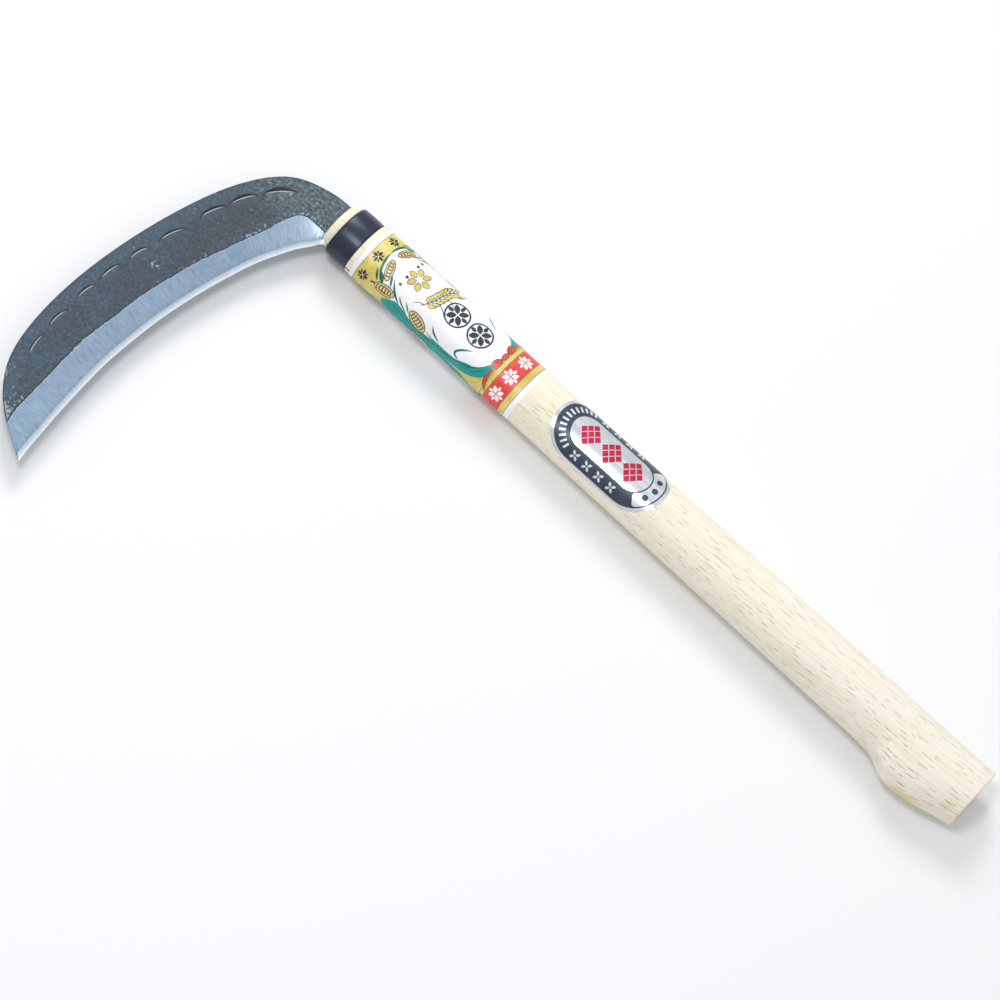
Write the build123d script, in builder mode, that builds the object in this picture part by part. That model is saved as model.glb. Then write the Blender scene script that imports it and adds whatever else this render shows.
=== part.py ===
"""Hand sickle with a forged, laminated blade on an oval wooden handle.

Frame: X runs along the handle from its butt to its head, Y points to the side that the blade
reaches out to, and Z is square to the blade, out of its bevelled face. The origin is the middle
of the butt's sawn face. All lengths are in millimetres.
"""

from build123d import *

import os

# ---------------------------------------------------------------- handle
handle_length = 394.0          # butt face to the wood's front end
oval_ratio = 0.80              # depth (Z) of the handle's oval over its width (Y)
grip_start_x = 60.0            # the knob has run out into the plain grip here
grip_butt_half_width = 16.1    # at grip_start_x
grip_head_half_width = 14.35   # at the ferrule's shoulder
knob_half_depth = grip_butt_half_width * oval_ratio
heel_flat = [(0.0, 15.1), (21.5, 21.8)]   # sloping flat under the knob, from the butt face
tenon_half_width = 12.0        # the wood that the ferrule sits on
tenon_end_radius = 1.6

# (x, how far the knob's oval reaches on the blade's side)
knob_reach = [
    (0.0, 16.7), (9.0, 18.5), (15.0, 20.2), (21.5, 21.9), (28.0, 22.6), (34.0, 22.8),
    (38.0, 21.9), (41.0, 19.9), (44.0, 18.0), (48.0, 16.9), (54.0, 16.3), (grip_start_x, 16.1),
]
# hollow in front of the knob that the little finger sits in, cut square to the blade
cove_points = [(36.2, 23.3), (40.8, 19.3), (45.0, 16.9), (53.0, 16.05)]
cutter_reach_y = 30.0
cutter_half_depth = 20.0

# ---------------------------------------------------------------- ferrule
ferrule_rear_x = 376.8
ferrule_front_x = 389.8
ferrule_half_width = 13.95
ferrule_half_depth = 11.2
ferrule_nose_radius = 1.3

# ---------------------------------------------------------------- blade
blade_thickness = 2.6
steel_thickness = 0.7          # hard steel layer on the flat back of the blade
edge_land = 0.1                # thickness left at the cutting edge
bevel_overrun = 0.25           # the grinding plane runs on past the edge by this share
heel_lead = 0.8                # the grinding starts this far behind the heel, inside the kerf
hollow_count = 9               # hammered hollows in a row along the back
hollow_radius = 6.5
hollow_depth = 0.3
hollow_inset = 13.5            # from the back of the blade to the middle of a hollow
first_hollow = 0.15            # shares of the back's length, from shoulder to tip
last_hollow = 0.75

# back of the blade, from the wood's front end round the shoulder and the nose to the tip
spine_points = [
    (394.0, -9.8), (406.0, -9.2), (419.1, -4.3), (431.2, 5.9), (439.8, 21.0), (449.4, 51.3),
    (456.6, 91.2), (458.1, 118.0), (454.8, 149.9), (445.9, 168.9), (430.9, 183.1), (414.4, 192.6),
]
# cutting edge, from the heel at the handle to the tip
edge_points = [
    (392.0, 12.6), (394.4, 16.2), (397.4, 21.0), (402.3, 30.9), (409.4, 51.0), (416.0, 81.0),
    (419.4, 110.6), (420.1, 130.0), (418.5, 159.3), (414.4, 192.6),
]
# upper limit of the bevel, one point square across from each point of the edge
bevel_points = [
    (390.2, 9.3), (401.0, 8.6), (410.4, 13.8), (414.2, 25.8), (421.0, 48.0), (428.8, 78.6),
    (433.0, 110.0), (434.6, 130.4), (433.0, 160.8), (430.6, 197.0),
]
# where the steel layer ends on the flat back, from the neck to the tip
steel_inner_points = [
    (391.0, 2.0), (411.0, 3.0), (425.0, 14.0), (437.0, 48.0), (444.0, 84.0), (447.0, 118.0),
    (445.0, 146.0), (437.0, 168.0), (414.4, 192.6),
]

# ---------------------------------------------------------------- tang, kerf and pins
tang_end_x = 316.0
tang_back_end_y = -7.0         # the tang's two long sides draw together towards its end
tang_front_end_y = 2.0
tang_front_head_y = 11.5       # just inside the ferrule
pin_stations = [(334.0, -2.0), (356.0, -1.0)]
pin_radius = 1.3
pin_half_length = 11.0         # the pins lie sunk under the paper
pin_end_chamfer = 0.3

# ---------------------------------------------------------------- label and sticker
label_start_x = 274.0
label_end_x = 373.8
label_thickness = 0.15
sticker_middle = (226.7, -0.6)
sticker_length = 63.3
sticker_width = 29.0
sticker_thickness = 0.12

front_z = blade_thickness / 2
back_z = -blade_thickness / 2
edge_z = back_z + edge_land
tenon_half_depth = tenon_half_width * oval_ratio
spine_y = spine_points[0][1]


def across(x, y=0.0):
    """Plane square to the handle at x, its own x axis along Y."""
    return Plane(origin=(x, y, 0), x_dir=(0, 1, 0), z_dir=(1, 0, 0))


def grip_half_width(x):
    """Half width of the plain, evenly tapered grip at x."""
    share = (x - grip_start_x) / (ferrule_rear_x - grip_start_x)
    return grip_butt_half_width + share * (grip_head_half_width - grip_butt_half_width)


def grip_oval(x, proud=0.0):
    """Half width and half depth of the grip's oval at x, or of one that stands proud of it."""
    half_width = grip_half_width(x)
    return half_width + proud, half_width * oval_ratio + proud


def tang_outline():
    """Lines of the tang, from the blade's shoulder round its end to the heel."""
    Polyline(
        spine_points[0], (tang_end_x, tang_back_end_y), (tang_end_x, tang_front_end_y),
        (ferrule_rear_x, tang_front_head_y), (ferrule_front_x, tang_front_head_y), edge_points[0],
    )


# ---------------------------------------------------------------- handle
# One piece of pale hardwood: an oval grip that tapers towards the head, a tenon under the
# ferrule, and at the butt a knob with a cove before it and a sloping flat under it. A kerf sawn
# in from the head and open on the blade's side takes the tang.
with BuildPart() as handle:
    for x, reach in knob_reach:
        with BuildSketch(across(x, (reach - grip_butt_half_width) / 2)):
            Ellipse((reach + grip_butt_half_width) / 2, knob_half_depth)
    loft(ruled=True)
    with BuildSketch(Plane.XY):
        with BuildLine():
            Polyline(*heel_flat, (heel_flat[1][0], cutter_reach_y), (0, cutter_reach_y), close=True)
        make_face()
    extrude(amount=cutter_half_depth, both=True, mode=Mode.SUBTRACT)
    with BuildSketch(Plane.XY):
        with BuildLine():
            Spline(*cove_points, tangents=[(0.75, -0.66), (1, -0.02)])
            Polyline(cove_points[-1], (cove_points[-1][0], cutter_reach_y),
                     (cove_points[0][0], cutter_reach_y), cove_points[0])
        make_face()
    extrude(amount=cutter_half_depth, both=True, mode=Mode.SUBTRACT)
    for x in (grip_start_x, ferrule_rear_x):
        with BuildSketch(across(x)):
            Ellipse(*grip_oval(x))
    loft(ruled=True)
    with BuildSketch(across(ferrule_rear_x)):
        Ellipse(tenon_half_width, tenon_half_depth)
    extrude(amount=handle_length - ferrule_rear_x)
    fillet(handle.faces().sort_by(Axis.X)[-1].edges(), radius=tenon_end_radius)
    with BuildSketch(Plane.XY):
        with BuildLine():
            Polyline(
                (tang_end_x, tang_back_end_y), (spine_points[0][0], spine_y),
                (handle_length + 1, spine_y), (handle_length + 1, cutter_reach_y),
                (tang_end_x, cutter_reach_y), close=True,
            )
        make_face()
    extrude(amount=blade_thickness / 2, both=True, mode=Mode.SUBTRACT)
    with Locations(*[(x, y, 0) for x, y in pin_stations]):
        Hole(pin_radius)
handle.part.label = "handle"

# ---------------------------------------------------------------- ferrule
# Black ring driven over the tenon up to the shoulder of the grip. It keeps the kerf shut.
with BuildPart() as ferrule:
    with BuildSketch(across(ferrule_rear_x)):
        Ellipse(ferrule_half_width, ferrule_half_depth)
    extrude(amount=ferrule_front_x - ferrule_rear_x)
    fillet(ferrule.faces().sort_by(Axis.X)[-1].edges(), radius=ferrule_nose_radius)
    with BuildSketch(across(ferrule_rear_x)):
        Ellipse(tenon_half_width, tenon_half_depth)
    extrude(amount=ferrule_front_x - ferrule_rear_x, mode=Mode.SUBTRACT)
ferrule.part.label = "ferrule"

# ---------------------------------------------------------------- blade
# Forged in one with its tang: soft iron with a layer of hard steel welded to the flat back,
# along the edge. The front is ground to one long bevel, which lays the steel bare at the edge.
with BuildLine(Plane.XY.offset(front_z)) as bevel_top:
    Spline(*bevel_points)
ground_edge = [(edge_points[0][0] - heel_lead, edge_points[0][1] - heel_lead)] + edge_points[1:]
overrun_points = [
    (edge[0] + bevel_overrun * (edge[0] - top[0]), edge[1] + bevel_overrun * (edge[1] - top[1]))
    for edge, top in zip(ground_edge, bevel_points)
]
with BuildLine(Plane.XY.offset(edge_z + bevel_overrun * (edge_z - front_z))) as bevel_foot:
    Spline(*overrun_points)
bevel_face = Face.make_surface_from_curves(bevel_top.edges()[0], bevel_foot.edges()[0])

with BuildLine() as back_line:
    Spline(*spine_points)
hollow_places = []
for i in range(hollow_count):
    share = first_hollow + i * (last_hollow - first_hollow) / (hollow_count - 1)
    inward = (back_line.line % share).rotate(Axis.Z, 90)
    hollow_places.append((back_line.line @ share) + inward * hollow_inset)
dish_radius = (hollow_radius**2 + hollow_depth**2) / (2 * hollow_depth)
dish_z = front_z - hollow_depth + dish_radius

with BuildPart() as whole_blade:
    with BuildSketch(Plane.XY.offset(back_z)):
        with BuildLine():
            Spline(*spine_points)
            tang_outline()
            Spline(*edge_points)
        make_face()
    extrude(amount=blade_thickness)
    extrude(bevel_face, amount=2 * blade_thickness, dir=(0, 0, 1), mode=Mode.SUBTRACT)
    with Locations(*[(place.X, place.Y, dish_z) for place in hollow_places]):
        Sphere(dish_radius, mode=Mode.SUBTRACT)
    with Locations(*[(x, y, 0) for x, y in pin_stations]):
        Hole(pin_radius)

with BuildPart() as steel_layer:
    with BuildSketch(Plane.XY.offset(back_z)):
        with BuildLine():
            Spline(*edge_points)
            Spline(*steel_inner_points)
            Line(steel_inner_points[0], edge_points[0])
        make_face()
    extrude(amount=steel_thickness)
    add(whole_blade.part, mode=Mode.INTERSECT)
steel_layer.part.label = "steel_layer"

with BuildPart() as blade_body:
    add(whole_blade.part)
    add(steel_layer.part, mode=Mode.SUBTRACT)
blade_body.part.label = "blade_body"

# ---------------------------------------------------------------- locking pins
# Two headless pins, driven square through the cheeks of the kerf and the tang between them.
with BuildPart() as locking_pins:
    for x, y in pin_stations:
        with BuildSketch(Plane.XY.offset(-pin_half_length)):
            with Locations((x, y)):
                Circle(pin_radius)
    extrude(amount=2 * pin_half_length)
    chamfer(locking_pins.edges().filter_by(GeomType.CIRCLE), length=pin_end_chamfer)
locking_pins.part.label = "locking_pins"

# ---------------------------------------------------------------- paper label
# Printed paper, wrapped once round the grip behind the ferrule.
with BuildPart() as paper_label:
    for x in (label_start_x, label_end_x):
        with BuildSketch(across(x)):
            Ellipse(*grip_oval(x, label_thickness))
    loft(ruled=True)
    for x in (grip_start_x, ferrule_rear_x):
        with BuildSketch(across(x)):
            Ellipse(*grip_oval(x))
    loft(ruled=True, mode=Mode.SUBTRACT)
paper_label.part.label = "paper_label"

# ---------------------------------------------------------------- foil sticker
# Round-ended metallised sticker, pressed over the front of the grip.
sticker_start_x = sticker_middle[0] - sticker_length / 2
sticker_end_x = sticker_middle[0] + sticker_length / 2
with BuildPart() as foil_sticker:
    for x in (sticker_start_x, sticker_end_x):
        with BuildSketch(across(x)):
            Ellipse(*grip_oval(x, sticker_thickness))
    loft(ruled=True)
    for x in (grip_start_x, ferrule_rear_x):
        with BuildSketch(across(x)):
            Ellipse(*grip_oval(x))
    loft(ruled=True, mode=Mode.SUBTRACT)
    with BuildSketch(Plane.XY):
        with Locations(sticker_middle):
            SlotOverall(sticker_length, sticker_width)
    extrude(amount=cutter_half_depth, mode=Mode.INTERSECT)
foil_sticker.part.label = "foil_sticker"

os.makedirs("parts", exist_ok=True)
export_step(handle.part, "parts/handle.step")
export_step(ferrule.part, "parts/ferrule.step")
export_step(blade_body.part, "parts/blade_body.step")
export_step(steel_layer.part, "parts/steel_layer.step")
export_step(locking_pins.part, "parts/locking_pins.step")
export_step(paper_label.part, "parts/paper_label.step")
export_step(foil_sticker.part, "parts/foil_sticker.step")
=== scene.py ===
"""Looks of a hand sickle: forged blade, enamelled ferrule, oval oak handle, paper label, foil sticker.

Frame, in metres: X from the handle's butt to its head, Y to the side the blade reaches out to,
Z out of the blade's bevelled face. Shapes are worked out in millimetres and scaled once.
"""

import bmesh
import bpy
import numpy as np
from mathutils import Matrix, Vector, noise


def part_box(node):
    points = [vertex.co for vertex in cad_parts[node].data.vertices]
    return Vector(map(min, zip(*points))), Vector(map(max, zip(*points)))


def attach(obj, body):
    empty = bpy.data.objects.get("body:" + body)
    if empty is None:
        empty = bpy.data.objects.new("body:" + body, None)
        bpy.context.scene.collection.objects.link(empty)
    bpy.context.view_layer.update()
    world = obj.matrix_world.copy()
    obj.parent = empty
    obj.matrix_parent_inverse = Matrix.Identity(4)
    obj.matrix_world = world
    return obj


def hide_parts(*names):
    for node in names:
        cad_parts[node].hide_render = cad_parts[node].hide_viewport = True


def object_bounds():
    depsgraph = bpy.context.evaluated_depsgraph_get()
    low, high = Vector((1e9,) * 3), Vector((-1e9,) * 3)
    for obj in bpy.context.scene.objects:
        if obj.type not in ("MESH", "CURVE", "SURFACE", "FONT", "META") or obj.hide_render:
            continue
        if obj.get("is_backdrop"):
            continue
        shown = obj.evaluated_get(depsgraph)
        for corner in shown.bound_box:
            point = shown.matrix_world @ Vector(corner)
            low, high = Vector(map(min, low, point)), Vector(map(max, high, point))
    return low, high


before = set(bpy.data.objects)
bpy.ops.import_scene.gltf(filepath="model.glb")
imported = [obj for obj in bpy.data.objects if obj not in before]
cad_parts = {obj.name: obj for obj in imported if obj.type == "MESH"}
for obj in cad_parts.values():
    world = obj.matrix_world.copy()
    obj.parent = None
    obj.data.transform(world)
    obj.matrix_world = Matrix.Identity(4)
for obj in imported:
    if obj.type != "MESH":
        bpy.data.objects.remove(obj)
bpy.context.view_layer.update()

# ------------------------------------------------------------------------------ blade, soft iron
# The body of the blade: soft iron, forged to shape in one with neck and tang, left with its black
# forge scale, struck with a row of curved hammer marks along the back, and then ground on the
# front face to one long bevel.
MM = 0.001
front_z, back_z = 1.3, -1.3
edge_z = back_z + 0.1
steel_step_z = -0.6        # the iron lies on the steel from here up
bevel_foot_z = -0.55       # where the long bevel ends and the honed one starts
honed_width = 2.7
full_bevel_width = 14.5    # as wide as the bevel is where the iron has its whole thickness

# Stations from the end of the tang to the tip: edge, top of the bevel, back, about square across,
# and how far the bevel is ground there.
stations = [
    ((316.0, 2.0), (316.0, 1.0), (316.0, -7.0), 0),
    ((345.0, 6.5), (345.0, 5.5), (345.0, -8.1), 0),
    ((376.0, 11.3), (376.0, 10.3), (376.0, -9.3), 0),
    ((389.6, 11.5), (389.2, 9.6), (389.6, -9.8), 0),
    ((391.6, 12.4), (391.4, 9.2), (391.6, -9.8), 0.8),
    ((394.4, 16.2), (399.0, 8.4), (399.4, -9.8), 1),
    ((397.6, 21.3), (408.4, 10.4), (410.8, -7.7), 1),
    ((402.3, 30.9), (413.9, 25.0), (423.3, -2.1), 1),
    ((406.4, 41.0), (417.6, 36.5), (432.9, 8.4), 1),
    ((409.4, 51.0), (421.0, 48.0), (440.0, 21.6), 1),
    ((413.2, 66.5), (425.6, 63.6), (446.5, 39.9), 1),
    ((416.0, 81.0), (428.8, 78.6), (451.4, 59.7), 1),
    ((418.2, 96.0), (431.6, 94.4), (455.2, 81.3), 1),
    ((419.4, 110.6), (433.0, 110.0), (457.4, 102.0), 1),
    ((420.1, 130.0), (434.6, 130.4), (457.7, 126.9), 1),
    ((419.3, 147.0), (433.8, 148.0), (454.9, 149.2), 1),
    ((418.2, 162.0), (433.0, 163.4), (448.9, 164.9), 1),
    ((416.8, 175.0), (432.2, 176.4), (439.4, 176.3), 1),
    ((415.8, 184.0), (430.6, 183.1), (430.6, 183.1), 1),
    ((415.0, 189.4), (421.8, 188.4), (421.8, 188.4), 1),
    ((414.4, 192.4), (414.4, 192.4), (414.4, 192.4), 1),
]
bevel_end_station = 18     # from here to the tip the bevel reaches the back


def spline(knots, values, at):
    """Natural cubic spline through values at knots, read at the given places, for any columns."""
    knots, values = np.asarray(knots, float), np.asarray(values, float)
    gap = np.diff(knots)
    slope = np.diff(values, axis=0) / gap[:, None]
    size = len(knots)
    matrix, right = np.eye(size), np.zeros_like(values)
    for i in range(1, size - 1):
        matrix[i, i - 1:i + 2] = gap[i - 1], 2 * (gap[i - 1] + gap[i]), gap[i]
        right[i] = 6 * (slope[i] - slope[i - 1])
    bend = np.linalg.solve(matrix, right)
    i = np.clip(np.searchsorted(knots, at) - 1, 0, size - 2)
    low, high = (knots[i + 1] - at)[:, None], (at - knots[i])[:, None]
    width = gap[i][:, None]
    return (
        (bend[i] * low**3 + bend[i + 1] * high**3) / (6 * width)
        + (values[i] / width - bend[i] * width / 6) * low
        + (values[i + 1] / width - bend[i + 1] * width / 6) * high
    )


def smooth(low, high, x):
    """0 below low, 1 above high and an even S between them."""
    t = np.clip((x - low) / (high - low), 0, 1)
    return t * t * (3 - 2 * t)


def field(points, scale, seed):
    """Smooth noise from -1 to 1 at points in mm, whose features are about scale mm wide."""
    offset = Vector((seed * 17.3, seed * 7.1, seed * 3.7))
    return np.array([noise.noise(Vector(p) / scale + offset) for p in points])


middles = np.array([np.add(edge, back) for edge, top, back, ground in stations]) / 2
knots = np.concatenate([[0], np.cumsum(np.linalg.norm(np.diff(middles, axis=0), axis=1))])
columns = np.concatenate([
    np.linspace(0, knots[3], 30, endpoint=False),
    np.linspace(knots[3], knots[-1], 1060),
])
edge_line = spline(knots, [s[0] for s in stations], columns)
back_line = spline(knots, [s[2] for s in stations], columns)
last_top = bevel_end_station + 1
top_line = spline(knots[:last_top], [s[1] for s in stations[:last_top]],
                  np.minimum(columns, knots[bevel_end_station]))
ground = np.interp(columns, knots, [s[3] for s in stations])
past = columns >= knots[bevel_end_station]
top_line[past] = back_line[past]

# the grinding breaks the scale along a ragged line
across_bevel = top_line - edge_line
bevel_width = np.linalg.norm(across_bevel, axis=1)
on_line = np.c_[columns, columns * 0, columns * 0]
ragged = 0.25 * field(on_line, 7.0, 9) + 0.22 * field(on_line, 2.4, 1) + 0.14 * field(on_line, 0.9, 2)
ragged += 0.7 * smooth(0.30, 0.45, field(on_line, 4.0, 11)) * np.abs(field(on_line, 1.1, 12))
ragged *= ground * smooth(0, 14, knots[bevel_end_station] - columns)
top_line = top_line + (ragged / np.maximum(bevel_width, 1))[:, None] * across_bevel
honed_share = np.clip(honed_width / np.maximum(bevel_width, 1e-6), 0, 0.55)[:, None]
honed_line = edge_line + honed_share * (top_line - edge_line)
weld_line = top_line + 0.5 * (back_line - top_line)

# the bevel takes ever more of the thickness towards the tip
left_there = np.where(past, np.minimum(1, bevel_width / full_bevel_width), 1)
top_z = edge_z + (front_z - edge_z) * left_there
bevel_low_z = front_z + (edge_z + (bevel_foot_z - edge_z) * left_there - front_z) * ground
step_z = back_z + (steel_step_z - back_z) * ground * left_there

# distances from the back at which the rows of the mesh run, closest where the hammer marks are
row_places = np.concatenate([[0, 0.35, 0.8, 1.5, 2.4, 3.3], np.arange(4.0, 11.6, 0.19), [12.0, 12.6, 13.4]])
bevel_rows, inner_rows, side_rows = 12, 14, 5
whole_width = 16.0
grid, lie = [], []


def add_row(line, z, across, depth_in=0.0):
    """One row of the blade's skin, as points in mm, and its own measures along and across."""
    grid.append(np.c_[line, z])
    lie.append(np.c_[columns, columns * 0 + across, columns * 0 + depth_in])


for t in np.linspace(0, 1, bevel_rows + 1):
    line = honed_line + t * (top_line - honed_line)
    add_row(line, bevel_low_z + t * (top_z - bevel_low_z), np.linalg.norm(line - edge_line, axis=1), 99)
to_top = top_line - back_line
scale_width = np.linalg.norm(to_top, axis=1)
inward = to_top / np.maximum(scale_width, 1e-6)[:, None]
squeeze = np.minimum(1, scale_width / whole_width)
deepest = row_places[-1] * squeeze
for t in np.concatenate([[0.04], np.linspace(0, 1, inner_rows + 1)[1:-1]]):
    place = scale_width + t * (deepest - scale_width)
    add_row(back_line + inward * place[:, None], top_z, scale_width - place, place)
for row_place in row_places[::-1]:
    place = row_place * squeeze
    add_row(back_line + inward * place[:, None], top_z, scale_width - place, place)
front_rows = len(grid)
tangent = np.gradient(back_line, axis=0)
tangent /= np.linalg.norm(tangent, axis=1)[:, None]
outward = np.c_[tangent[:, 1], -tangent[:, 0]]
for t in np.linspace(0, np.pi, side_rows + 2)[1:-1]:
    middle_z, half_z = (top_z + back_z) / 2, (top_z - back_z) / 2
    bulge = 0.2 * np.sin(t) * left_there
    add_row(back_line + outward * bulge[:, None], middle_z + half_z * np.cos(t), 40)
for line, z in ((back_line, step_z * 0 + back_z), (weld_line, step_z * 0 + back_z), (weld_line, step_z),
                (honed_line, step_z)):
    add_row(line, z, 50)
grid, lie = np.array(grid), np.array(lie)

# Hammer marks: each blow lands on the edge of a round face. It leaves a steep step along a curve
# on the side of the back, deepest at its middle, and runs out flat towards the bevel. Given are
# the two ends of each step, how far its upper and its lower line bow out, and its depth.
blows = [
    ((416.9, 2.4), (428.2, 15.6), 2.9, 1.5, 0.55), ((428.8, 16.6), (435.2, 31.0), 2.4, 1.3, 0.52),
    ((435.2, 31.6), (440.0, 45.8), 2.2, 1.2, 0.50), ((440.6, 53.8), (444.9, 68.3), 1.9, 1.2, 0.45),
    ((445.6, 72.8), (448.0, 85.2), 1.8, 1.1, 0.42), ((448.9, 88.7), (450.0, 102.1), 1.8, 1.1, 0.42),
    ((449.7, 104.2), (451.0, 116.4), 1.7, 1.0, 0.40), ((449.8, 122.7), (450.1, 135.9), 1.7, 1.1, 0.36),
    ((449.2, 139.3), (446.3, 152.9), 1.7, 1.1, 0.36),
]
run_out_length, narrowest_step, lip_width = 2.6, 0.35, 0.42
flat = grid[bevel_rows:front_rows].reshape(-1, 3)
depth, step, lip = np.zeros(len(flat)), np.zeros(len(flat)), np.zeros(len(flat))
for start, end, bow_above, bow_below, drop in blows:
    start, chord = np.array(start), np.subtract(end, start)
    half = np.linalg.norm(chord) / 2
    along = chord / (2 * half)
    offset = flat[:, :2] - start - chord / 2
    p, q = offset @ along / half, offset @ np.array([-along[1], along[0]])
    arch = np.clip(1 - p**2, 0, 1)
    upper, lower = -bow_above * arch, -bow_below * arch
    lower = np.maximum(lower, upper + narrowest_step)
    share = (q - upper) / (lower - upper)
    fade = arch ** 0.6
    near = (np.abs(p) < 1) & (q > -5) & (q < 14)
    hollow = smooth(0, 1, share) * np.exp(-np.maximum(q - lower, 0) / run_out_length)
    depth = np.maximum(depth, np.where(near, drop * fade * hollow, 0))
    # the steep wall of each step, which the material colours as painted shade
    on_step = smooth(-0.9, -0.1, share) * smooth(1.1, 0.8, share)
    step = np.maximum(step, np.where(near, fade ** 0.6 * on_step, 0))
    # a narrow band on the lip just past the step, which the material colours as a painted highlight
    after = (q - lower) / lip_width
    on_lip = np.exp(-(after - 0.3) ** 2 * 4) * smooth(0.25, 0.8, arch)
    lip = np.maximum(lip, np.where(near, fade * on_lip, 0))
waves = 0.05 * field(flat, 16, 3) + 0.025 * field(flat, 4, 4)
flat_rows = front_rows - bevel_rows
edge_fade = np.tile(ground * smooth(0, 3, scale_width), flat_rows)
flat[:, 2] += (waves - depth) * edge_fade
grid[bevel_rows:front_rows] = flat.reshape(flat_rows, -1, 3)
grid[bevel_rows] = np.c_[top_line, np.minimum(grid[bevel_rows][:, 2], top_z)]

# wear: where the scale has flaked off in specks; coarse: where it is rough and grainy
wear, coarse = np.zeros(grid.shape[:2]), np.zeros(grid.shape[:2])
skin = slice(bevel_rows, front_rows)
from_grind, from_back = lie[skin, :, 1], lie[skin, :, 2]
y_there = grid[skin, :, 1]
patchy = 0.55 + 0.9 * np.tile(field(on_line, 9.0, 21), (flat_rows, 1))
near_neck, near_tip = smooth(90, 45, y_there), smooth(150, 180, y_there)
wear[skin] = np.exp(-(from_grind / 3.0) ** 2) * patchy * (0.30 + 1.1 * near_neck)
wear[skin] += near_tip * (0.55 + 0.3 * patchy) + 0.85 * np.exp(-(from_back / 1.6) ** 2) * (
    smooth(118, 150, y_there) + smooth(46, 30, y_there) * smooth(12, 22, y_there)) * patchy
for x, y, radius in ((439.0, 78.0, 4.2), (441.5, 153.5, 1.6), (446, 60, 1.5), (419.0, 5.0, 1.8)):
    spread = np.linalg.norm(grid[skin, :, :2] - (x, y), axis=2) / radius
    wear[skin] += 0.8 * np.exp(-spread**2)
coarse[skin] = smooth(24, 6, y_there) + 0.45 * smooth(62, 30, y_there) * np.exp(-(from_grind / 6) ** 2)
burr = np.zeros(grid.shape[:2])
burr[skin] = smooth(0.9, 0.3, from_grind)
burr[bevel_rows] = 1
# painted shade on the hammered steps and a painted highlight on their lips, for the material to read
step_shade_values, lip_highlight_values = np.zeros(grid.shape[:2]), np.zeros(grid.shape[:2])
step_shade_values[skin], lip_highlight_values[skin] = step.reshape(flat_rows, -1), lip.reshape(flat_rows, -1)


def mesh_object(name, points, faces, body="root"):
    """A smooth-shaded mesh object from points in mm, riding on a body of the frame."""
    mesh = bpy.data.meshes.new(name)
    mesh.from_pydata((np.asarray(points) * MM).tolist(), [], faces)
    mesh.validate()
    mesh.polygons.foreach_set("use_smooth", [True] * len(mesh.polygons))
    piece = bpy.data.objects.new(name, mesh)
    bpy.context.scene.collection.objects.link(piece)
    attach(piece, body)
    return piece


def tube_faces(rows, count):
    """Quads between rows of points, the last row joined to the first, and a face over each end."""
    faces = []
    for r in range(rows):
        low, high = r * count, (r + 1) % rows * count
        faces += [(low + c, low + c + 1, high + c + 1, high + c) for c in range(count - 1)]
    faces.append([r * count for r in range(rows)])
    faces.append([r * count + count - 1 for r in range(rows)])
    return faces


def give_numbers(piece, name, values, kind="FLOAT"):
    """Stores one value per point on the mesh, for its material to read."""
    layer = piece.data.attributes.new(name, kind, "POINT")
    key = "vector" if kind == "FLOAT_VECTOR" else "value"
    layer.data.foreach_set(key, np.asarray(values, np.float32).ravel())


def tidy(piece, sharp_angle=35):
    """Welds points that coincide, turns faces outward and marks the creases as sharp."""
    work = bmesh.new()
    work.from_mesh(piece.data)
    bmesh.ops.remove_doubles(work, verts=work.verts, dist=2e-6)
    bmesh.ops.dissolve_degenerate(work, edges=work.edges, dist=1e-7)
    bmesh.ops.recalc_face_normals(work, faces=work.faces)
    for edge in work.edges:
        edge.smooth = bool(edge.calc_face_angle(0) < np.radians(sharp_angle))
    work.to_mesh(piece.data)
    work.free()


rows, count = grid.shape[:2]
blade_iron = mesh_object("blade_iron", grid.reshape(-1, 3), tube_faces(rows, count))
give_numbers(blade_iron, "lie", lie, "FLOAT_VECTOR")
for name, values in (("step", step_shade_values), ("lip", lip_highlight_values), ("wear", wear), ("coarse", coarse),
                     ("burr", burr)):
    give_numbers(blade_iron, name, values)
bright = np.zeros((rows, count - 1), int)
bright[:bevel_rows] = ground[:-1] > 0.5
bright[front_rows - 1:front_rows + side_rows] = past[:-1]
materials_of_faces = np.concatenate([bright.ravel(), [0, 0]])
blade_iron.data.polygons.foreach_set("material_index", materials_of_faces[:len(blade_iron.data.polygons)])
tidy(blade_iron, 30)
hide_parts("blade_body")


def srgb(code, alpha=1.0):
    """A colour such as "#a1b2c3" as linear red, green, blue and alpha."""
    parts = [int(code[i:i + 2], 16) / 255 for i in (1, 3, 5)]
    return tuple(p / 12.92 if p <= 0.04045 else ((p + 0.055) / 1.055) ** 2.4 for p in parts) + (alpha,)


def add(tree, kind, sockets=None, **settings):
    """Adds a node. Settings are its own properties, stops a ramp's; sockets are values or links."""
    node = tree.nodes.new(kind)
    stops = settings.pop("stops", None)
    for name, value in settings.items():
        setattr(node, name, value)
    if stops:
        elements = node.color_ramp.elements
        while len(elements) < len(stops):
            elements.new(0.5)
        for element, (position, colour) in zip(elements, stops):
            element.position, element.color = position, colour
    for key, value in (sockets or {}).items():
        if isinstance(value, bpy.types.NodeSocket):
            tree.links.new(value, node.inputs[key])
        else:
            node.inputs[key].default_value = value
    return node


def new_material(name):
    """An empty material, its node tree and its shader, already joined to the output."""
    made = bpy.data.materials.new(name)
    made.use_nodes = True
    tree = made.node_tree
    return made, tree, tree.nodes["Principled BSDF"]


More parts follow.
